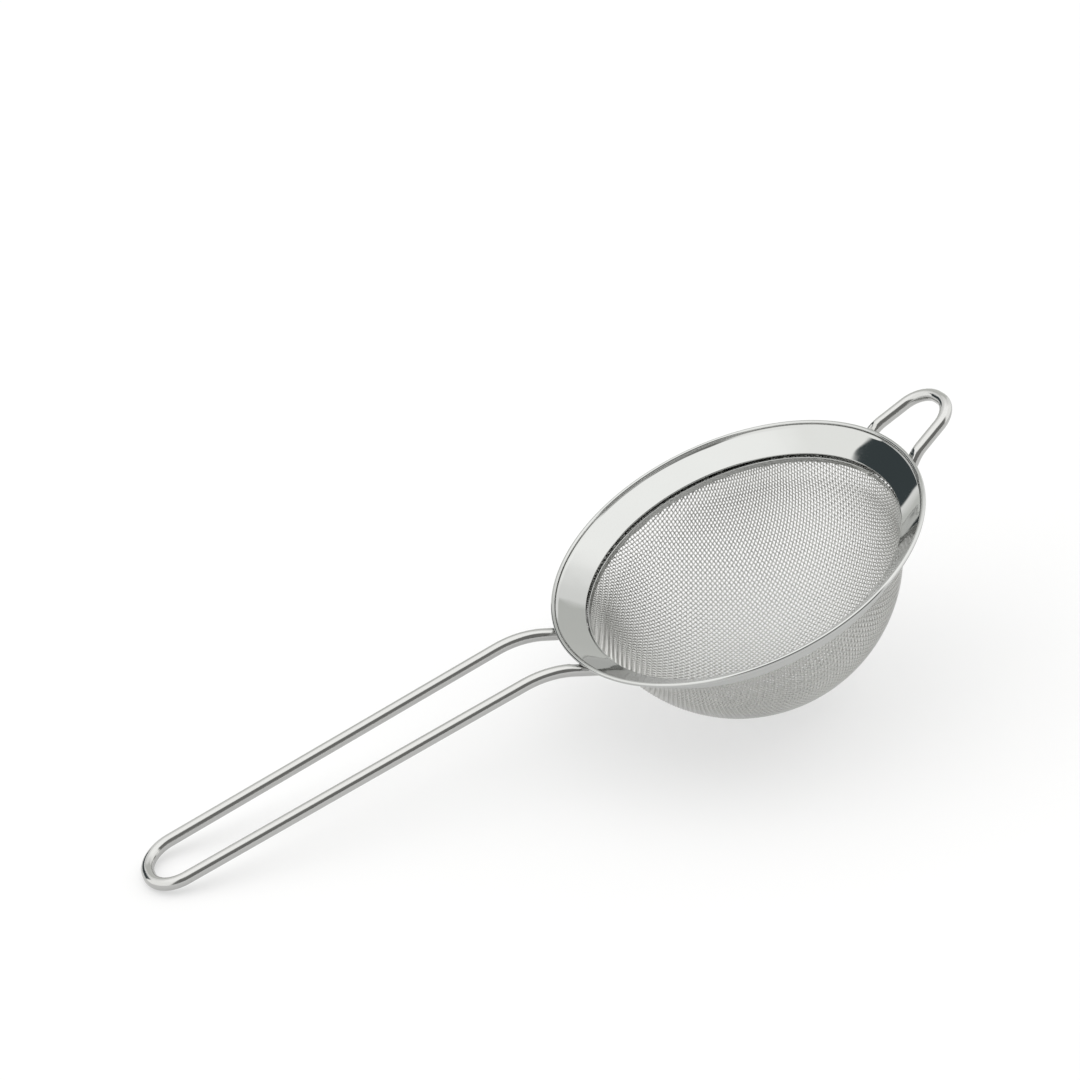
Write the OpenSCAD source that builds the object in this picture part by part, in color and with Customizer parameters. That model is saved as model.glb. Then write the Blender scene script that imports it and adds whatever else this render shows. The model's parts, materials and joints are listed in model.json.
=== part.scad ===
// Tea strainer. A bowl of woven wire cloth is clamped in the collar of a sloping steel rim.
// A long bent-wire handle and a short bent-wire hanging loop are welded under the rim.
//
// Everything is drawn in the rim's own frame: origin at the centre of the rim's top plane,
// +Z out of the bowl's mouth, +X towards the hanging loop, -X along the handle.
// laid_down() then tips it the way it lies on a table, on the bottom of its bowl and the
// end of its handle. The origin ends up where the bowl touches the table.

/* [Rim] */
// Outside diameter, over the rolled edge
rim_d = 80; // [74:1:86]
// Diameter of the rolled edge
bead_d = 0.9; // [0.85:0.05:1.2]
// Radius of the flange's inner edge
throat_r = 33.85; // [33.5:0.05:34.2]
// How far the flange's inner edge lies below the rim's top
flange_drop = 4.25; // [3.75:0.05:4.75]
// Thickness of the rim's sheet
sheet_t = 0.4; // [0.3:0.05:0.4]
// Step from the flange's inner edge out to the collar
collar_step = 0.45; // [0.35:0.05:0.6]
// Height of the collar below the flange
collar_h = 1.8; // [1.4:0.1:2.2]

/* [Wire cloth bowl] */
// Outside radius of the bowl
bowl_r = 33.3; // [33.1:0.1:33.6]
// How far the bowl's centre lies below the rim's top
bowl_sink = 2.25; // [2:0.05:2.5]
// Thickness of the cloth, two wires deep
cloth_t = 0.55; // [0.4:0.05:0.6]
// Height of the neck, where the cloth draws in from the collar to the bowl's round part
neck_h = 4; // [3:0.5:5]

/* [Clamp ring] */
// Thickness of the ring inside the cloth
ring_t = 0.3; // [0.25:0.05:0.4]
// Distance from the flange down to the ring
ring_drop = 0.3; // [0.1:0.05:0.5]
// Running gap between pieces that are pressed together
seat_gap = 0.02; // [0.01:0.01:0.04]

/* [Handle] */
// Diameter of the handle and loop wire
wire_d = 2.6; // [2.2:0.1:3]
// Rim centre to the wire's centre at the handle's end
handle_reach = 132.6; // [100:0.1:160]
// Half of the short straight at the handle's end
handle_end_half = 0.45; // [0.3:0.05:2]
// Radius of the two bends at the handle's end
handle_end_r = 6.45; // [4:0.05:7]
// Angle each side of the handle spreads by towards the rim
handle_spread = 0.65; // [0.4:0.05:1.2]
// Angle the handle rises by away from the rim
handle_rise = 2.5; // [1:0.1:5]
// Distance from the rim's centre where the wire starts to bend down to the rim
handle_set_x = 51.3; // [50:0.1:54]
// Radius of that bend
handle_set_r = 20; // [16:1:22]
// How far the handle's middle line passes beside the rim's centre
handle_side = 1.75; // [0:0.25:2]

/* [Hanging loop] */
// Rim centre to the wire's centre at the loop's end
loop_reach = 53.1; // [52:0.1:60]
// Half of the short straight at the loop's end
loop_end_half = 0.4; // [0.3:0.1:1]
// Radius of the two bends at the loop's end
loop_end_r = 6.1; // [5.6:0.1:6.6]
// Angle each side of the loop spreads by towards the rim
loop_spread = 10; // [8:0.1:12]
// Angle the loop rises by away from the rim
loop_rise = 12.4; // [10:0.1:16]
// Distance from the rim's centre where the wire starts to bend down to the rim
loop_set_x = 42.5; // [42:0.5:43.5]
// Radius of that bend
loop_set_r = 8; // [6:1:10]
// Angle the loop stands off the line straight across from the handle
loop_turn = 3.2; // [0:0.2:4]

/* [Welds] */
// Depth the wire's feet are pressed flat by, under the flange
foot_flat = 0.2; // [0.1:0.05:0.3]
// Distance from the rim's centre to the end of a wire's foot
foot_end_x = 35.4; // [35.2:0.1:36]
// Thickness of a weld nugget between foot and flange
weld_t = 0.12; // [0.08:0.02:0.16]
// Radius of a weld nugget
weld_r = 0.75; // [0.5:0.05:0.8]
// Distance from the rim's centre to a weld, along the handle's line
weld_x = 37.2; // [36.6:0.1:37.8]

/* [Hidden] */
$fn = 96;
bend_overlap = 0.15;
bend_thin = 0.01;

wire_r = wire_d / 2;
bead_r = bead_d / 2;
bead_x = rim_d / 2 - bead_r;

// The flange runs straight from its inner edge to the middle of the rolled edge. Its underside
// ends inside the roll, at the hem.
flange_a = atan2(flange_drop - bead_r, bead_x - throat_r);
flange_v = sheet_t / cos(flange_a);
hem = [bead_x + sheet_t * sin(flange_a), -bead_r - sheet_t * cos(flange_a)];
collar_r = throat_r + collar_step;
collar_z = flange_under(collar_r) - collar_h;

// The clamp ring ends level with the collar.
ring_r = collar_r - cloth_t - 2 * seat_gap;
ring_top = flange_under(throat_r) - ring_drop;

// The cloth is trimmed level with the ring. It leaves the collar straight, then draws in.
cloth_r = collar_r - seat_gap;
neck_z = collar_z - 0.1;
round_z = neck_z - neck_h;

// A wire's feet lie under the flange, with their tops pressed flat and a weld's thickness below it.
foot_line = wire_r - foot_flat + weld_t;
handle = [
    handle_reach, handle_rise, handle_set_x, handle_set_r, handle_end_half, handle_end_r, handle_spread
];
loop = [loop_reach, loop_rise, loop_set_x, loop_set_r, loop_end_half, loop_end_r, loop_spread];

// The lie on the table: the bowl's round bottom and the handle's end both touch it.
tip_drop = -bowl_sink - tip_z(handle);
lean = asin((bowl_r - wire_r) / norm([handle_reach, tip_drop])) - atan2(tip_drop, handle_reach);

// Height of the flange's underside at a radius, extended past the rolled edge.
function flange_under(r) = -flange_drop - flange_v + (r - throat_r) * tan(flange_a);

// Outside and inside radius of the bowl at a height.
function bowl_out(z) = sqrt(pow(bowl_r, 2) - pow(z + bowl_sink, 2));
function bowl_in(z) = sqrt(pow(bowl_r - cloth_t, 2) - pow(z + bowl_sink, 2));

// A wire loop is [reach, rise, set_x, set_r, end_half, end_r, spread]. These give the angle of
// its bend down to the rim, where that bend ends, and its straight lengths.
function set_angle(w) = flange_a - w[1];
function set_end_x(w) = w[2] - w[3] * (sin(flange_a) - sin(w[1]));
function foot_length(w) = (set_end_x(w) - foot_end_x) / cos(flange_a);
function run_length(w) = (w[0] - w[2]) / cos(w[1]) - w[5] * (1 - sin(w[6]));

// Half the width between its two feet, at their ends.
function foot_y(w) =
    w[4] + w[5] * cos(w[6])
    + (run_length(w) + w[3] * sin(set_angle(w)) + foot_length(w) * cos(set_angle(w))) * sin(w[6]);

// Heights of a foot's end and of the loop's far end.
function foot_z(w) = flange_under(norm([foot_end_x, foot_y(w)])) - foot_line / cos(flange_a);
function tip_z(w) =
    foot_z(w) + foot_length(w) * sin(flange_a)
    + w[3] * (cos(w[1]) - cos(flange_a)) + (w[0] - w[2]) * tan(w[1]);

// Turning and moving as matrices, for a wire that is built up length by length.
function feed_m(d) = [[1, 0, 0, d], [0, 1, 0, 0], [0, 0, 1, 0], [0, 0, 0, 1]];
function roll_m(a) = [[1, 0, 0, 0], [0, cos(a), -sin(a), 0], [0, sin(a), cos(a), 0], [0, 0, 0, 1]];
function turn_m(a) = [[cos(a), -sin(a), 0, 0], [sin(a), cos(a), 0, 0], [0, 0, 1, 0], [0, 0, 0, 1]];
function pitch_m(a) = [[cos(a), 0, sin(a), 0], [0, 1, 0, 0], [-sin(a), 0, cos(a), 0], [0, 0, 0, 1]];
function arc_m(a, r) = [
    [cos(a), -sin(a), 0, r * sin(a)],
    [sin(a), cos(a), 0, r * (1 - cos(a))],
    [0, 0, 1, 0],
    [0, 0, 0, 1]
];

// The frame of a foot's end on the +Y side: headed away from the rim, up the flange's slope.
function foot_frame(w) =
    [[1, 0, 0, -foot_end_x], [0, 1, 0, foot_y(w)], [0, 0, 1, foot_z(w)], [0, 0, 0, 1]]
    * pitch_m(w[1]) * turn_m(180 + w[6]) * pitch_m(-set_angle(w));

module laid_down() {
    translate([0, 0, bowl_r]) rotate([0, -lean, 0]) translate([0, 0, bowl_sink]) children();
}

// A bend starts and ends just inside the straights beside it, thinned by a hair by the bending.
module bend(angle, radius) {
    into = bend_overlap / radius * 180 / PI;
    translate([0, radius, 0]) rotate([0, 0, -90 - into])
        rotate_extrude(angle = angle + 2 * into) translate([radius, 0]) circle(r = wire_r - bend_thin);
}

// Round wire built up length by length from a starting frame. A step is
// [roll, feed, bend angle, bend radius]: the wire is rolled about itself, fed straight,
// bent towards its own +Y, and rolled back.
module bent_wire(steps, frame, i = 0) {
    if (i < len(steps)) {
        step = steps[i];
        rolled = frame * roll_m(step[0]);
        fed = rolled * feed_m(step[1]);
        if (step[1] > 0)
            multmatrix(rolled) rotate([0, 90, 0]) cylinder(h = step[1], r = wire_r);
        if (step[2] > 0)
            multmatrix(fed) bend(step[2], step[3]);
        bent_wire(steps, fed * arc_m(step[2], step[3]) * roll_m(-step[0]), i + 1);
    }
}

// The space the flange and its welds take, which the feet are pressed flat against.
module foot_press() {
    drop = weld_t / cos(flange_a);
    inner = collar_r + sheet_t - 1;
    outer = rim_d / 2 + 3;
    rotate_extrude() polygon([
        [inner, flange_under(inner) - drop],
        [outer, flange_under(outer) - drop],
        [outer, 5],
        [inner, 5]
    ]);
}

// One loop of wire, welded under the flange on the -X side: foot, bend down to the rim, run,
// the end's two bends, and the same back.
module wire_loop(w, side) {
    steps = [
        [0, foot_length(w), 0, 0],
        [-90, 0, set_angle(w), w[3]],
        [0, run_length(w), 90 - w[6], w[5]],
        [0, 2 * w[4], 90 - w[6], w[5]],
        [0, run_length(w), 0, 0],
        [-90, 0, set_angle(w), w[3]],
        [0, foot_length(w), 0, 0]
    ];
    difference() {
        translate([0, side, 0]) bent_wire(steps, foot_frame(w));
        foot_press();
    }
}

// The flange slopes down from the rolled edge, and carries the collar under its inner edge.
module rim_band() {
    outer = collar_r + sheet_t;
    color("silver") {
        rotate_extrude() polygon([
            [throat_r, -flange_drop],
            [bead_x, -bead_r],
            hem,
            [outer, flange_under(outer)],
            [outer, collar_z],
            [collar_r, collar_z],
            [collar_r, flange_under(collar_r)],
            [throat_r, flange_under(throat_r)]
        ]);
        rotate_extrude() translate([bead_x, -bead_r]) circle(r = bead_r);
    }
}

// The ring holds the cloth's edge against the collar from inside.
module clamp_ring() {
    color("gainsboro") rotate_extrude()
        translate([ring_r - ring_t, collar_z]) square([ring_t, ring_top - collar_z]);
}

// The cloth as one thin shell: the straight edge in the collar, the neck and the round bowl.
module mesh_bowl() {
    color("lightgray") {
        rotate_extrude() polygon([
            [cloth_r - cloth_t, ring_top],
            [cloth_r, ring_top],
            [cloth_r, neck_z],
            [bowl_out(round_z) - 0.03, round_z - 0.1],
            [bowl_in(round_z) + 0.03, round_z - 0.1],
            [cloth_r - cloth_t, neck_z]
        ]);
        difference() {
            translate([0, 0, -bowl_sink]) sphere(r = bowl_r);
            translate([0, 0, -bowl_sink]) sphere(r = bowl_r - cloth_t);
            translate([0, 0, round_z]) cylinder(h = 2 * bowl_r, r = bowl_r + 1);
        }
    }
}

module handle_wire() {
    color("silver") wire_loop(handle, handle_side);
}

module hanging_loop() {
    color("silver") rotate([0, 0, loop_turn]) mirror([1, 0, 0]) wire_loop(loop, 0);
}

// A nugget of fused metal joins each of the four feet to the flange.
module weld_nuggets() {
    drop = weld_t / cos(flange_a);
    inner = collar_r + sheet_t;
    color("darkgray") intersection() {
        rotate_extrude() polygon([
            [inner, flange_under(inner)],
            [bead_x, flange_under(bead_x)],
            [bead_x, flange_under(bead_x) - drop],
            [inner, flange_under(inner) - drop]
        ]);
        union() {
            for (side = [-1, 1]) {
                translate([-weld_x, handle_side + side * foot_y(handle), -10]) cylinder(h = 10, r = weld_r);
                rotate([0, 0, loop_turn])
                    translate([weld_x, side * foot_y(loop), -10]) cylinder(h = 10, r = weld_r);
            }
        }
    }
}

laid_down() {
    rim_band();
    clamp_ring();
    mesh_bowl();
    handle_wire();
    hanging_loop();
    weld_nuggets();
}
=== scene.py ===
"""Looks of a tea strainer: a woven-wire bowl in a sloping steel rim, with a long bent-wire
handle and a short hanging loop. Blender works in metres, in the row frame: the bowl rests on
the table at the origin, and +X runs level towards the hanging loop."""

import json
import math

import bpy
import numpy as np
from mathutils import Matrix, Vector


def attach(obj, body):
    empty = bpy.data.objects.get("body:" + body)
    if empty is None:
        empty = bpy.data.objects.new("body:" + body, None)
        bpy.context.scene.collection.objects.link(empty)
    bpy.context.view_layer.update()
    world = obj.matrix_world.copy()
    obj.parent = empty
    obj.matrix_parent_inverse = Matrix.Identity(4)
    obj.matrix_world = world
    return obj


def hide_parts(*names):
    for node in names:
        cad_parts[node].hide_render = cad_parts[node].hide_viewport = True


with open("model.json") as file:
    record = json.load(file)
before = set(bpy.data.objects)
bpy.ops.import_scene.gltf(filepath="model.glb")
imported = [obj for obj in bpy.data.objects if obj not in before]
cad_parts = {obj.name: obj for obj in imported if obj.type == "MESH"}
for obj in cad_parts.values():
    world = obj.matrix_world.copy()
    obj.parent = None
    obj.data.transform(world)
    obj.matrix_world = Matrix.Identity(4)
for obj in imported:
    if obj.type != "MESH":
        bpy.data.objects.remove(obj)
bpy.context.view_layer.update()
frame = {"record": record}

MM = 0.001

# The strainer's driving sizes are in millimetres and degrees, in the rim's own frame: origin at
# the centre of the rim's top plane, +Z out of the mouth, +X towards the hanging loop.

# Rim: its radius over the rolled edge, the roll's own radius, the radius and depth of the inner
# edge, the sheet's thickness, the step out to the collar, and the collar's height.
RIM_R = 40.0
BEAD_R = 0.45
THROAT_R = 33.85
FLANGE_DROP = 4.25
SHEET = 0.4
COLLAR_STEP = 0.45
COLLAR_H = 1.8

# The flange's finish: radius of the hollow where it turns up into the roll, and depth of its
# dish.
CREASE_R = 0.3
DISH = 0.07

# Clamp ring: its thickness, the gap above it, and the gap on each side of the cloth.
RING = 0.3
RING_DROP = 0.3
GAP = 0.02

# Cloth: the bowl's outside radius, the depth of its centre, the cloth's thickness, the height
# of the neck between bowl and collar, the gap from neck to collar, and how far below the clamp
# ring's top the cloth ends.
BOWL_R = 33.3
BOWL_SINK = 2.25
CLOTH = 0.55
NECK_H = 4.0
NECK_GAP = 0.1
CLOTH_SHORT = 0.5

# Weave: the pitch and radius of the cloth's wires, and its turn from the handle.
PITCH = 0.785
CLOTH_WIRE_R = 0.14
WEAVE_TURN = 16.0

# Handle and loop wire: its radius, how much is pressed off its feet, the bevel at a foot's end,
# and how far from the rim's axis a foot ends.
WIRE_R = 1.3
FOOT_FLAT = 0.2
FOOT_BEVEL = 0.25
FOOT_END = 35.4

# Welds: thickness, radius, bulge as a share of the radius, and distance from the rim's axis.
WELD_T = 0.12
WELD_R = 0.75
WELD_BULGE = 0.12
WELD_X = 37.2

# A wire loop: reach, rise, start and radius of the bend down to the rim, half the end's
# straight, radius of its bends, spread of its sides.
HANDLE = dict(reach=132.6, rise=2.5, set_x=51.3, set_r=20.0, half=0.45, end_r=6.45, spread=0.65)
LOOP = dict(reach=53.1, rise=12.4, set_x=42.5, set_r=8.0, half=0.4, end_r=6.1, spread=10.0)

# Both are welded on with a little play: the handle beside the rim's middle, the loop turned.
HANDLE_SIDE = 1.75
LOOP_TURN = 3.2

# Fineness of the meshes: facets round the rim, a wire and a cloth wire, steps in a rounded
# corner, the longest straight and bent steps along a wire, and the pieces that each set of the
# cloth's wires is split into.
RIM_FACETS = 720
WIRE_FACETS = 40
CLOTH_WIRE_FACETS = 6
ROUND_STEPS = 6
WIRE_STEP = 0.8
BEND_STEP = 3.0
CLOTH_PARTS = 2

# A point this far beside each round keeps the straight run next to it flat when it is shaded
# smooth.
GUARD = 0.04

BEAD_X = RIM_R - BEAD_R
FLANGE_A = math.atan2(FLANGE_DROP - BEAD_R, BEAD_X - THROAT_R)
CLOTH_MIDDLE = BOWL_R - CLOTH / 2


def flange_under(r):
    """Height of the flange's underside at a radius."""
    return -FLANGE_DROP - SHEET / math.cos(FLANGE_A) + (r - THROAT_R) * math.tan(FLANGE_A)


COLLAR_R = THROAT_R + COLLAR_STEP
COLLAR_Z = flange_under(COLLAR_R) - COLLAR_H
RING_TOP = flange_under(THROAT_R) - RING_DROP


def mount(name):
    """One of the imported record's mounts."""
    return next(m for m in frame["record"]["mounts"] if m["name"] == name)


# The cup seat's axis points straight out of the rim's underside, which gives the rim's lean.
seat_axis = mount("cup_seat")["axis"]
LEAN = math.atan2(seat_axis[0], -seat_axis[2])
TO_ROW = (
    Matrix.Scale(MM, 4)
    @ Matrix.Translation((0, 0, BOWL_R))
    @ Matrix.Rotation(-LEAN, 4, "Y")
    @ Matrix.Translation((0, 0, BOWL_SINK))
)


# ---------------------------------------------------------------- mesh helpers


def mesh_object(name, points, faces, material):
    """A new object of one mesh and one material, its points in metres."""
    mesh = bpy.data.meshes.new(name)
    mesh.from_pydata(points, [], faces)
    mesh.validate()
    mesh.materials.append(material)
    obj = bpy.data.objects.new(name, mesh)
    bpy.context.scene.collection.objects.link(obj)
    return obj


def piece(name, points, faces, node, material, uv=None):
    """A smooth piece that stands for a CAD node, its points in the rim's frame, in
    millimetres."""
    rows = np.array(TO_ROW)
    points = np.asarray(points, float) @ rows[:3, :3].T + rows[:3, 3]
    obj = mesh_object(name, points.tolist(), faces, material)
    mesh = obj.data
    mesh.shade_smooth()
    if uv is not None:
        layer = mesh.uv_layers.new(name="UVMap")
        corners = np.empty(len(mesh.loops), int)
        mesh.loops.foreach_get("vertex_index", corners)
        layer.data.foreach_set("uv", np.asarray(uv, float)[corners].ravel())
    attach(obj, "root")
    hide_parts(node)


def arc(centre, radius, start, end, steps):
    """Points of an arc in the (radius, height) plane, angles in degrees."""
    angles = np.radians(np.linspace(start, end, steps + 1))
    return [(centre[0] + radius * math.cos(a), centre[1] + radius * math.sin(a)) for a in angles]


def rounded(corners):
    """A closed outline from corners (x, y, radius), each rounded off between two guard points.
    A corner with no radius is kept as it is."""
    outline = []
    for i, (x, y, radius) in enumerate(corners):
        if radius == 0:
            outline.append((x, y))
            continue
        here = Vector((x, y))
        before = (Vector(corners[i - 1][:2]) - here).normalized()
        after = (Vector(corners[(i + 1) % len(corners)][:2]) - here).normalized()
        half = before.angle(after) / 2
        back = radius / math.tan(half)
        centre = here + (before + after).normalized() * (radius / math.sin(half))
        start = here + before * back - centre
        end = here + after * back - centre
        turn = start.angle_signed(end)
        outline.append(tuple(here + before * (back + GUARD)))
        for k in range(ROUND_STEPS + 1):
            spoke = Matrix.Rotation(-turn * k / ROUND_STEPS, 2) @ start
            outline.append(tuple(centre + spoke))
        outline.append(tuple(here + after * (back + GUARD)))
    return outline


def lathe(outline):
    """Points and faces of a closed outline in (radius, height), listed clockwise, revolved about
    the rim's axis."""
    count = len(outline)
    angles = np.linspace(0, 2 * math.pi, RIM_FACETS, endpoint=False)
    points = [(r * math.cos(a), r * math.sin(a), z) for a in angles for r, z in outline]
    faces = []
    for i in range(RIM_FACETS):
        a, b = i * count, (i + 1) % RIM_FACETS * count
        for k in range(count):
            m = (k + 1) % count
            faces.append((a + k, a + m, b + m, b + k))
    return points, faces


def capped_tube(rings, sides, base=0):
    """Faces of a closed tube through rings of points, listed ring after ring. base is the number
    of its first point."""
    faces = []
    for i in range(rings - 1):
        a, b = base + i * sides, base + (i + 1) * sides
        for k in range(sides):
            m = (k + 1) % sides
            faces.append((a + k, a + m, b + m, b + k))
    faces.append(tuple(base + k for k in reversed(range(sides))))
    faces.append(tuple(base + (rings - 1) * sides + k for k in range(sides)))
    return faces


# ---------------------------------------------------------------- node helpers


def add_node(tree, kind, inputs=None, **settings):
    """A new node. Each of its inputs, by name or number, gets a value or a link from another
    node's output."""
    node = tree.nodes.new(kind)
    for key, value in settings.items():
        setattr(node, key, value)
    for key, value in (inputs or {}).items():
        if isinstance(value, bpy.types.NodeSocket):
            tree.links.new(value, node.inputs[key])
        else:
            node.inputs[key].default_value = value
    return node


def mix_colours(tree, factor, first, second):
    """A colour between two, first where the factor is 0. Inputs 6 and 7 and output 2 are a Mix
    node's colours."""
    inputs = {"Factor": factor, 6: first, 7: second}
    return add_node(tree, "ShaderNodeMix", inputs, data_type="RGBA").outputs[2]


def new_material(name, values):
    """A node material whose Principled shader has these plain values."""
    material = bpy.data.materials.new(name)
    material.use_nodes = True
    shader = material.node_tree.nodes["Principled BSDF"]
    for socket, value in values.items():
        shader.inputs[socket].default_value = value
    return material


def feed(material, output, socket):
    """Links an output to the material's shader."""
    shader = material.node_tree.nodes["Principled BSDF"]
    material.node_tree.links.new(output, shader.inputs[socket])


def object_place(material):
    """The place on the object, in metres."""
    return add_node(material.node_tree, "ShaderNodeTexCoord").outputs["Object"]


def noise(material, place, scale, detail):
    """Smooth noise over a place."""
    inputs = {"Vector": place, "Scale": scale, "Detail": detail}
    return add_node(material.node_tree, "ShaderNodeTexNoise", inputs).outputs["Fac"]


def tint(material, factor, dark, light):
    """Lets the base colour vary between two."""
    colour = mix_colours(material.node_tree, factor, (*dark, 1), (*light, 1))
    feed(material, colour, "Base Color")


def gloss(material, factor, smooth, dull):
    """Lets the roughness vary between two values."""
    inputs = {"Value": factor, "To Min": smooth, "To Max": dull}
    rough = add_node(material.node_tree, "ShaderNodeMapRange", inputs)
    feed(material, rough.outputs["Result"], "Roughness")


def relief(material, height, strength, distance):
    """Bumps from a height."""
    inputs = {"Height": height, "Strength": strength, "Distance": distance}
    bump = add_node(material.node_tree, "ShaderNodeBump", inputs)
    feed(material, bump.outputs["Normal"], "Normal")


# ---------------------------------------------------------------- materials


def polished_steel():
    """Bright stamped stainless sheet: faint clouds in its tone, a fine haze, slight waviness."""
    material = new_material("polished_steel", {"Metallic": 1.0})
    place = object_place(material)
    tint(material, noise(material, place, 60.0, 3.0), (0.45, 0.455, 0.445), (0.475, 0.48, 0.47))
    gloss(material, noise(material, place, 900.0, 2.0), 0.035, 0.065)
    relief(material, noise(material, place, 130.0, 1.0), 0.5, 0.0003)
    return material


def cloth_wire():
    """Fine bright wire of the woven cloth, duller in patches from drawing and pressing. Its
    weave is real wire, so it has no bumps."""
    material = new_material("wire_cloth", {"Metallic": 1.0})
    patch = noise(material, object_place(material), 90.0, 4.0)
    tint(material, patch, (0.53, 0.53, 0.515), (0.61, 0.61, 0.595))
    gloss(material, patch, 0.26, 0.38)
    return material


def drawn_wire():
    """Bright drawn wire: drawing lines along it, faint scuffs."""
    material = new_material("drawn_wire", {"Metallic": 1.0})
    along = add_node(material.node_tree, "ShaderNodeUVMap").outputs["UV"]
    inputs = {"Vector": along, "Scale": (40.0, 1.5, 1.0)}
    stretched = add_node(material.node_tree, "ShaderNodeMapping", inputs).outputs["Vector"]
    lines = noise(material, stretched, 6.0, 3.0)
    tint(material, lines, (0.43, 0.43, 0.42), (0.50, 0.50, 0.49))
    gloss(material, noise(material, object_place(material), 400.0, 4.0), 0.07, 0.14)
    relief(material, lines, 0.1, 0.00005)
    return material


def weld_metal():
    """Dull, slightly straw-coloured metal of a spot weld."""
    material = new_material("weld_metal", {"Metallic": 1.0, "Roughness": 0.45})
    grain = noise(material, object_place(material), 1500.0, 4.0)
    tint(material, grain, (0.42, 0.40, 0.36), (0.66, 0.65, 0.62))
    relief(material, grain, 0.3, 0.0001)
    return material


# ---------------------------------------------------------------- rim and clamp ring


def bead_outline():
    """The flange's top and rolled edge, outwards and clockwise round to its underside: the
    slope, very slightly dished, a small hollow where the sheet turns up, then the roll itself."""
    centre = Vector((BEAD_X, -BEAD_R))
    up_slope = Vector((math.cos(FLANGE_A), math.sin(FLANGE_A)))
    off_slope = Vector((-math.sin(FLANGE_A), math.cos(FLANGE_A)))
    back = math.sqrt((BEAD_R + CREASE_R) ** 2 - CREASE_R**2)
    hollow = centre - up_slope * back + off_slope * CREASE_R
    slope = math.degrees(FLANGE_A)
    meet = slope - math.degrees(math.atan(CREASE_R / back))
    under = slope - 90 - math.degrees(math.acos(SHEET / BEAD_R))
    run = (BEAD_X - THROAT_R) / math.cos(FLANGE_A)
    # The dish stops short of the inner edge, which has a round of its own.
    short, steps = 0.6, 12
    dished = []
    for k in range(1, steps + 1):
        down = back + GUARD + (run - back - short) * (1 - k / steps)
        sag = DISH * 4 * (down / run) * (1 - down / run)
        dished.append(tuple(centre - up_slope * down - off_slope * sag))
    turn_up = arc(hollow, CREASE_R, slope - 90, meet, 8)
    roll = arc(centre, BEAD_R, meet + 180, under, 40)
    return dished + turn_up + roll[1:]


def rim_band(material):
    """Sloping flange with its outer edge rolled over and the collar under its inner edge."""
    outer = COLLAR_R + SHEET
    outline = rounded(
        [
            (outer, COLLAR_Z, 0.12),
            (COLLAR_R, COLLAR_Z, 0.12),
            (COLLAR_R, flange_under(COLLAR_R), 0.05),
            (THROAT_R, flange_under(THROAT_R), 0.15),
            (THROAT_R, -FLANGE_DROP, 0.25),
            *((r, z, 0) for r, z in bead_outline()),
            (outer, flange_under(outer), 0.3),
        ]
    )
    points, faces = lathe(outline)
    piece("rim", points, faces, "rim_band", material)


def clamp_ring(material):
    """Narrow ring that pinches the cloth's edge against the collar."""
    outer = COLLAR_R - CLOTH - 2 * GAP
    inner = outer - RING
    corners = [(inner, COLLAR_Z), (inner, RING_TOP), (outer, RING_TOP), (outer, COLLAR_Z)]
    points, faces = lathe(rounded([(r, z, 0.1) for r, z in corners]))
    piece("clamp", points, faces, "clamp_ring", material)


# ---------------------------------------------------------------- bent wires


def wire_facts(sizes):
    """Lengths and places that follow from a wire loop's driving sizes. Its angles are in
    radians."""
    rise, spread = math.radians(sizes["rise"]), math.radians(sizes["spread"])
    turn = FLANGE_A - rise
    set_end = sizes["set_x"] - sizes["set_r"] * (math.sin(FLANGE_A) - math.sin(rise))
    foot = (set_end - FOOT_END) / math.cos(FLANGE_A)
    side = (sizes["reach"] - sizes["set_x"]) / math.cos(rise)
    run = side - sizes["end_r"] * (1 - math.sin(spread))
    along = run + sizes["set_r"] * math.sin(turn) + foot * math.cos(turn)
    foot_y = sizes["half"] + sizes["end_r"] * math.cos(spread) + along * math.sin(spread)
    line = (WIRE_R - FOOT_FLAT + WELD_T) / math.cos(FLANGE_A)
    foot_z = flange_under(math.hypot(FOOT_END, foot_y)) - line
    return dict(rise=rise, spread=spread, turn=turn, foot=foot, run=run, foot_y=foot_y, foot_z=foot_z)


HANDLE_PLACE = Matrix.Translation((0, HANDLE_SIDE, 0))
LOOP_PLACE = Matrix.Rotation(math.radians(180 + LOOP_TURN), 4, "Z")


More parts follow.
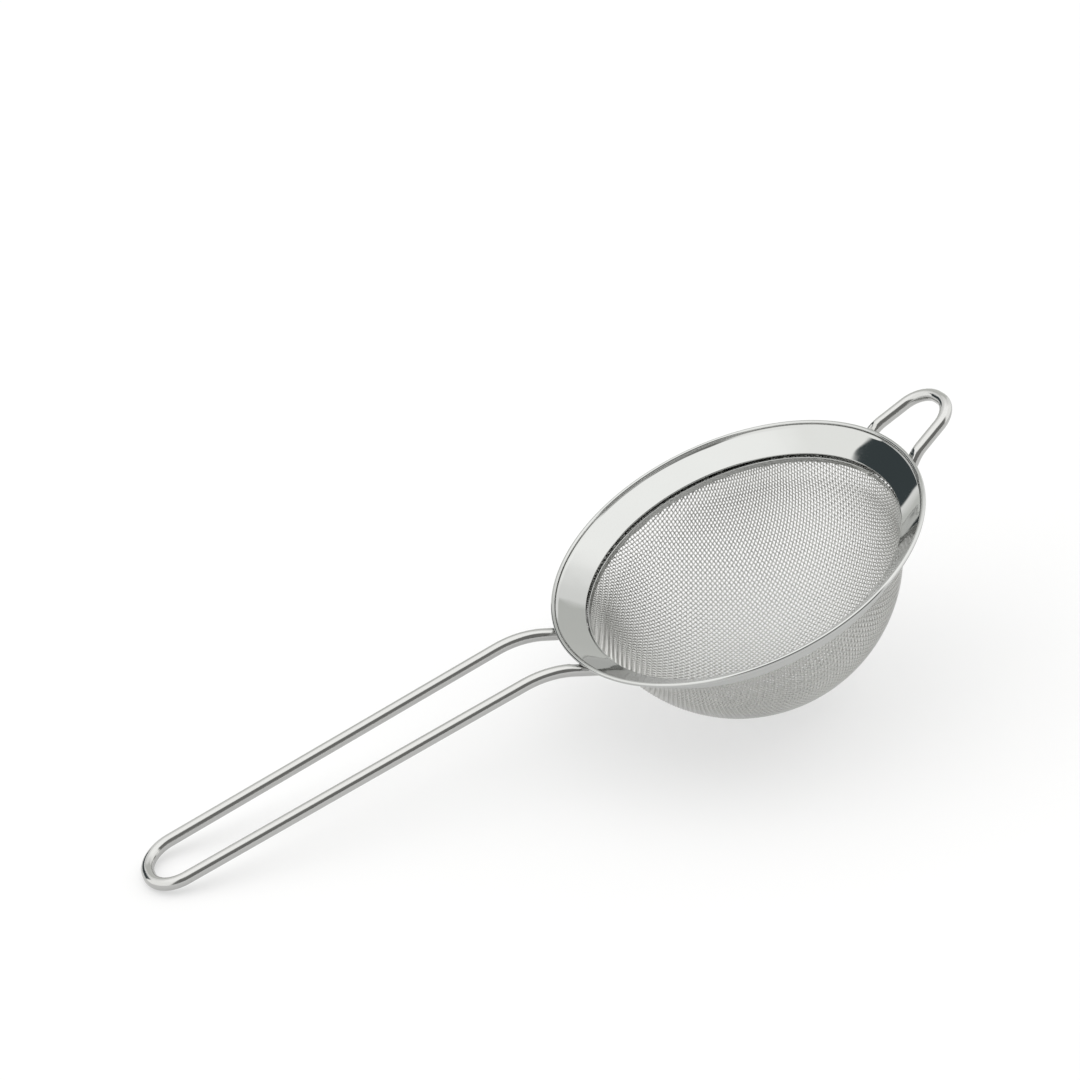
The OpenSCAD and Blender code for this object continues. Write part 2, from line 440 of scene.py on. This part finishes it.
def wire_path(sizes):
    """Frames along a wire loop on the -X side, from one foot to the other: matrices whose X
    runs along the wire and whose Z is the wire's own upper side."""
    facts = wire_facts(sizes)
    foot, run, turn = facts["foot"], facts["run"], facts["turn"]
    set_r, end_r = sizes["set_r"], sizes["end_r"]
    corner = math.pi / 2 - facts["spread"]
    # Each step feeds the wire straight by a length, then bends it by an angle round a radius,
    # in a plane that stands at a number of degrees to the wire's own level.
    steps = [
        (0, foot, 0, 0),
        (-90, 0, turn, set_r),
        (0, run, corner, end_r),
        (0, 2 * sizes["half"], corner, end_r),
        (0, run, 0, 0),
        (-90, 0, turn, set_r),
        (0, foot, 0, 0),
    ]
    place = (
        Matrix.Translation((-FOOT_END, facts["foot_y"], facts["foot_z"]))
        @ Matrix.Rotation(facts["rise"], 4, "Y")
        @ Matrix.Rotation(math.pi + facts["spread"], 4, "Z")
        @ Matrix.Rotation(-turn, 4, "Y")
    )
    frames = [place.copy()]
    for plane, length, angle, radius in steps:
        roll = Matrix.Rotation(math.radians(plane), 4, "X")
        place = place @ roll
        parts = math.ceil(length / WIRE_STEP)
        for _ in range(parts):
            place = place @ Matrix.Translation((length / parts, 0, 0))
            frames.append(place @ roll.inverted())
        parts = math.ceil(math.degrees(angle) / BEND_STEP)
        for _ in range(parts):
            a = angle / parts
            shift = (radius * math.sin(a), radius * (1 - math.cos(a)), 0)
            place = place @ Matrix.Translation(shift) @ Matrix.Rotation(a, 4, "Z")
            frames.append(place @ roll.inverted())
        place = place @ roll.inverted()
    return frames


def wire_loop(name, sizes, shift, node, material):
    """A round wire along its path, its feet pressed flat a weld's thickness under the flange.
    shift moves it from its place on the -X side to where it is welded."""
    frames = wire_path(sizes)
    first = frames[0] @ Matrix.Translation((-FOOT_BEVEL, 0, 0))
    last = frames[-1] @ Matrix.Translation((FOOT_BEVEL, 0, 0))
    frames = [first, *frames, last]
    pressed_r = RIM_R + 1
    texture_length = 10
    points, uv, run = [], [], 0.0
    for i, place in enumerate(frames):
        if i:
            run += (place.translation - frames[i - 1].translation).length
        at_end = i in (0, len(frames) - 1)
        radius = WIRE_R - (FOOT_BEVEL if at_end else 0)
        for k in range(WIRE_FACETS):
            a = 2 * math.pi * k / WIRE_FACETS
            point = place @ Vector((0, radius * math.cos(a), radius * math.sin(a)))
            point = shift @ point
            r = math.hypot(point.x, point.y)
            if r < pressed_r:
                point.z = min(point.z, flange_under(r) - WELD_T / math.cos(FLANGE_A))
            points.append(tuple(point))
            uv.append((k / WIRE_FACETS, run / texture_length))
    faces = capped_tube(len(frames), WIRE_FACETS)
    piece(name, points, faces, node, material, uv=uv)


# ---------------------------------------------------------------- woven cloth


def net_quarter(count):
    """One quarter of a net of equal square cells laid on the bowl from its lowest point, as unit
    directions: (i, j) counts wires along X and Y. Two lines through the pole are straight, and
    each further knot is the mirror image of the knot before it across its two neighbours."""
    step = PITCH / CLOTH_MIDDLE
    knots = np.full((count, count, 3), np.nan)
    for i in range(count):
        knots[i, 0] = (math.sin(i * step), 0, -math.cos(i * step))
        knots[0, i] = (0, math.sin(i * step), -math.cos(i * step))
    for i in range(1, count):
        for j in range(1, count):
            across = np.cross(knots[i, j - 1], knots[i - 1, j])
            across /= np.linalg.norm(across)
            back = knots[i - 1, j - 1]
            knots[i, j] = back - 2 * np.dot(back, across) * across
            # A line that turns down again has left the bowl, and its knots end there.
            if knots[i, j, 2] < back[2]:
                knots[i, j] = np.nan
    return knots


def cloth_profile():
    """The cloth's middle line as lengths along it, radii and heights, from the bottom of the
    bowl up its round part, out through the neck and up inside the collar to the cloth's edge."""
    neck_top = COLLAR_Z - NECK_GAP
    around = math.acos((NECK_H - neck_top - BOWL_SINK) / CLOTH_MIDDLE)
    angles = np.linspace(0, around, 400)
    bowl_r = CLOTH_MIDDLE * np.sin(angles)
    bowl_z = -BOWL_SINK - CLOTH_MIDDLE * np.cos(angles)
    collar = COLLAR_R - GAP - CLOTH / 2
    widening = collar - bowl_r[-1]
    # The neck starts in line with the round part and eases into the collar.
    t = np.linspace(0, 1, 40)[1:]
    settle = (NECK_H / math.tan(around) - widening) * t * (1 - t) ** 2
    radius = np.concatenate([bowl_r, bowl_r[-1] + widening * t + settle, [collar]])
    height = np.concatenate([bowl_z, bowl_z[-1] + NECK_H * t, [RING_TOP - CLOTH_SHORT]])
    length = np.concatenate([[0], np.cumsum(np.hypot(np.diff(radius), np.diff(height)))])
    return length, radius, height


def net(count):
    """The whole net as unit directions, knot (0, 0) in the middle of the array, up to the
    cloth's edge. A knot's angle from the pole stands for its length along the cloth."""
    quarter = net_quarter(count)
    half = np.concatenate([quarter[:0:-1] * (-1, 1, 1), quarter])
    whole = np.concatenate([half[:, :0:-1] * (1, -1, 1), half], axis=1)
    edge = -math.cos(cloth_profile()[0][-1] / CLOTH_MIDDLE)
    whole[~(whole[:, :, 2] < edge)] = np.nan
    return whole


def cloth_surface(directions, height):
    """Points at a height inside the cloth's middle line, and the inward normals there."""
    length, radius, level = cloth_profile()
    run = np.arccos(np.clip(-directions[:, 2], -1, 1)) * CLOTH_MIDDLE
    r = np.interp(run, length, radius)
    z = np.interp(run, length, level)
    # The slope is taken between a point a little further up the cloth and one further down.
    aside = 0.2
    dr = np.interp(run + aside, length, radius) - np.interp(run - aside, length, radius)
    dz = np.interp(run + aside, length, level) - np.interp(run - aside, length, level)
    size = np.hypot(dr, dz)
    flat = np.maximum(np.hypot(directions[:, 0], directions[:, 1]), 1e-9)
    out_x, out_y = directions[:, 0] / flat, directions[:, 1] / flat
    normal = np.column_stack([-dz / size * out_x, -dz / size * out_y, dr / size])
    return np.column_stack([r * out_x, r * out_y, z]) + normal * height[:, None], normal


def cloth_wire_rings(line, sides):
    """Rings of points along one cloth wire through the knots of a line. sides tells for each
    knot whether the wire passes it on the inside of the bowl, 1, or on the outside, -1."""
    between = line[:-1] + line[1:]
    between /= np.linalg.norm(between, axis=1)[:, None]
    path = np.empty((2 * len(line) - 1, 3))
    path[0::2] = line
    path[1::2] = between
    wave = np.zeros(len(path))
    wave[0::2] = CLOTH_WIRE_R * sides
    centre, normal = cloth_surface(path, wave)
    ahead = np.gradient(centre, axis=0)
    ahead /= np.linalg.norm(ahead, axis=1)[:, None]
    aside = np.cross(normal, ahead)
    aside /= np.linalg.norm(aside, axis=1)[:, None]
    up = np.cross(ahead, aside)
    angles = 2 * math.pi * np.arange(CLOTH_WIRE_FACETS) / CLOTH_WIRE_FACETS
    return (
        centre[:, None]
        + CLOTH_WIRE_R * np.cos(angles)[None, :, None] * aside[:, None]
        + CLOTH_WIRE_R * np.sin(angles)[None, :, None] * up[:, None]
    )


def cloth_wires(name, knots, phase, part, material):
    """One piece of one set of the cloth's wires: those along the array's first axis, each
    passing over and under the wires it crosses. phase is 0 for one set and 1 for the other,
    and part says which share of the set the piece holds."""
    count = knots.shape[1]
    k = np.arange(CLOTH_WIRE_FACETS)[None]
    m = (k + 1) % CLOTH_WIRE_FACETS
    points, faces = [], []
    base = 0
    for j in range(part * count // CLOTH_PARTS, (part + 1) * count // CLOTH_PARTS):
        index = np.flatnonzero(~np.isnan(knots[:, j, 0]))
        # A line of fewer knots is only a scrap at the very edge.
        if len(index) < 3:
            continue
        rings = cloth_wire_rings(knots[index, j], np.where((index + j + phase) % 2, 1, -1))
        points.append(rings.reshape(-1, 3))
        a = base + np.arange(len(rings) - 1)[:, None] * CLOTH_WIRE_FACETS
        b = a + CLOTH_WIRE_FACETS
        faces.append(np.stack([a + k, a + m, b + m, b + k], -1).reshape(-1, 4))
        base += len(rings) * CLOTH_WIRE_FACETS
    turn = np.array(Matrix.Rotation(math.radians(WEAVE_TURN), 3, "Z"))
    points = np.concatenate(points) @ turn.T
    faces = np.concatenate(faces).tolist()
    piece(name, points, faces, "mesh_bowl", material)


def woven_bowl(material):
    """Plain-woven wire cloth pressed into a bowl, as its two sets of wires."""
    quarter_turn = math.pi / 2 * BOWL_R
    spare = 3
    knots = net(math.ceil(quarter_turn / PITCH) + spare)
    for part in range(CLOTH_PARTS):
        cloth_wires(f"warp_{part + 1}", knots, 0, part, material)
        cloth_wires(f"weft_{part + 1}", knots.transpose(1, 0, 2), 1, part, material)


# ---------------------------------------------------------------- welds


def weld_nuggets(material):
    """Small squashed beads of metal between the wires' feet and the flange."""
    rings, sides = 11, 24
    points, faces = [], []
    for sizes, shift in ((HANDLE, HANDLE_PLACE), (LOOP, LOOP_PLACE)):
        foot_y = wire_facts(sizes)["foot_y"]
        for hand in (-1, 1):
            middle = shift @ Vector((-WELD_X, hand * foot_y, 0))
            faces += capped_tube(rings, sides, base=len(points))
            for i in range(rings):
                lift = i / (rings - 1)
                radius = WELD_R * (1 + WELD_BULGE * math.sin(math.pi * lift))
                for k in range(sides):
                    a = 2 * math.pi * k / sides
                    x = middle.x + radius * math.cos(a)
                    y = middle.y + radius * math.sin(a)
                    top = flange_under(math.hypot(x, y))
                    points.append((x, y, top - (1 - lift) * WELD_T / math.cos(FLANGE_A)))
    piece("welds", points, faces, "weld_nuggets", material)


# ---------------------------------------------------------------- stage


def floor():
    """Plain white table top, large enough to have no edge in any view."""
    half = 8.0
    white = {
        "Base Color": (0.42, 0.42, 0.42, 1),
        "Roughness": 0.9,
        "Specular IOR Level": 0.0,
        "Emission Color": (1, 1, 1, 1),
        "Emission Strength": 0.47,
    }
    corners = [(-half, -half, 0), (half, -half, 0), (half, half, 0), (-half, half, 0)]
    mesh_object("floor", corners, [(0, 1, 2, 3)], new_material("floor", white))


# The studio round the strainer, as seen from it: azimuth from +X towards +Y and elevation of a
# zone's middle, its half width and half height and the softness of its edge, in degrees, and
# its brightness. Each zone covers the ones before it.
ZONES = [
    # Haze behind the strainer.
    dict(az=72, el=15, wide=52, high=42, soft=24, light=(1.28, 1.28, 1.27)),
    # Greyer low wall in the haze.
    dict(az=70, el=18, wide=31, high=24, soft=4, light=(0.88, 0.89, 0.86)),
    # Dark flag beside the wall.
    dict(az=121, el=14, wide=17, high=13, soft=2, light=(0.072, 0.090, 0.096)),
    # Dim room on the camera's side.
    dict(az=-92, el=20, wide=50, high=32, soft=14, light=(0.27, 0.27, 0.262)),
]

# The white light from overhead and from all round, and the elevations between which one fades
# into the other.
OVERHEAD = (1.76, 1.76, 1.75, 1)
ALL_ROUND = (1.58, 1.58, 1.56, 1)
OVERHEAD_FADE = (36, 52)


def surroundings():
    """A white studio, brightest overhead, with its zones."""
    world = bpy.data.worlds.new("studio")
    bpy.context.scene.world = world
    world.use_nodes = True
    tree = world.node_tree

    def maths(operation, *values):
        """The result of a Math node."""
        node = add_node(tree, "ShaderNodeMath", dict(enumerate(values)), operation=operation)
        return node.outputs[0]

    def fade(value, start, end):
        """1 up to start, then softly down to 0 at end."""
        inputs = {"Value": value, "From Min": start, "From Max": end, "To Min": 1.0, "To Max": 0.0}
        node = add_node(tree, "ShaderNodeMapRange", inputs, interpolation_type="SMOOTHSTEP")
        return node.outputs["Result"]

    direction = add_node(tree, "ShaderNodeTexCoord").outputs["Generated"]
    height = add_node(tree, "ShaderNodeSeparateXYZ", {"Vector": direction}).outputs["Z"]
    elevation = maths("ARCSINE", height)
    low = fade(elevation, *(math.radians(angle) for angle in OVERHEAD_FADE))
    light = mix_colours(tree, low, OVERHEAD, ALL_ROUND)
    for zone in ZONES:
        az, el, wide, high, soft = (math.radians(zone[k]) for k in ("az", "el", "wide", "high", "soft"))
        inputs = {"Vector": direction, "Angle": -az}
        turned = add_node(tree, "ShaderNodeVectorRotate", inputs, rotation_type="Z_AXIS").outputs[0]
        xyz = add_node(tree, "ShaderNodeSeparateXYZ", {"Vector": turned}).outputs
        across = maths("ABSOLUTE", maths("ARCTAN2", xyz["Y"], xyz["X"]))
        above = maths("ABSOLUTE", maths("SUBTRACT", elevation, el))
        inside = maths(
            "MULTIPLY",
            fade(across, wide - soft / 2, wide + soft / 2),
            fade(above, high - soft / 2, high + soft / 2),
        )
        light = mix_colours(tree, inside, light, (*zone["light"], 1))
    tree.links.new(light, tree.nodes["Background"].inputs["Color"])


# The camera as it stands to the rim: azimuth, elevation and roll in degrees, how far it is moved
# left and down and its distance in millimetres, and its lens.
CAMERA = dict(
    azimuth=-97.94, elevation=32.97, roll=27.44, shift=(38.96, -1.12), distance=484.0, lens=80.0
)


def camera():
    """Camera at its azimuth and elevation from the rim's centre, turned about its own axis, and
    moved sideways so that the whole strainer is in the frame."""
    az, el, roll = (math.radians(CAMERA[k]) for k in ("azimuth", "elevation", "roll"))
    back = Vector((math.cos(el) * math.cos(az), math.cos(el) * math.sin(az), math.sin(el)))
    level = Vector((-math.sin(az), math.cos(az), 0))
    upright = back.cross(level)
    right = math.cos(roll) * level - math.sin(roll) * upright
    up = math.sin(roll) * level + math.cos(roll) * upright
    dx, dy = CAMERA["shift"]
    place = back * CAMERA["distance"] - right * dx - up * dy
    turn = Matrix((right, up, back)).transposed()
    data = bpy.data.cameras.new("camera")
    data.sensor_width = 36.0
    data.lens = CAMERA["lens"]
    obj = bpy.data.objects.new("camera", data)
    bpy.context.scene.collection.objects.link(obj)
    lean = Matrix.Rotation(-LEAN, 3, "Y")
    obj.matrix_world = Matrix.Translation(TO_ROW @ place) @ (lean @ turn).to_4x4()
    bpy.context.scene.camera = obj


camera()
floor()
surroundings()
bpy.context.scene.view_settings.view_transform = "Standard"

steel = polished_steel()
rim_band(steel)
clamp_ring(steel)
woven_bowl(cloth_wire())
wire = drawn_wire()
wire_loop("handle", HANDLE, HANDLE_PLACE, "handle_wire", wire)
wire_loop("loop", LOOP, LOOP_PLACE, "hanging_loop", wire)
weld_nuggets(weld_metal())
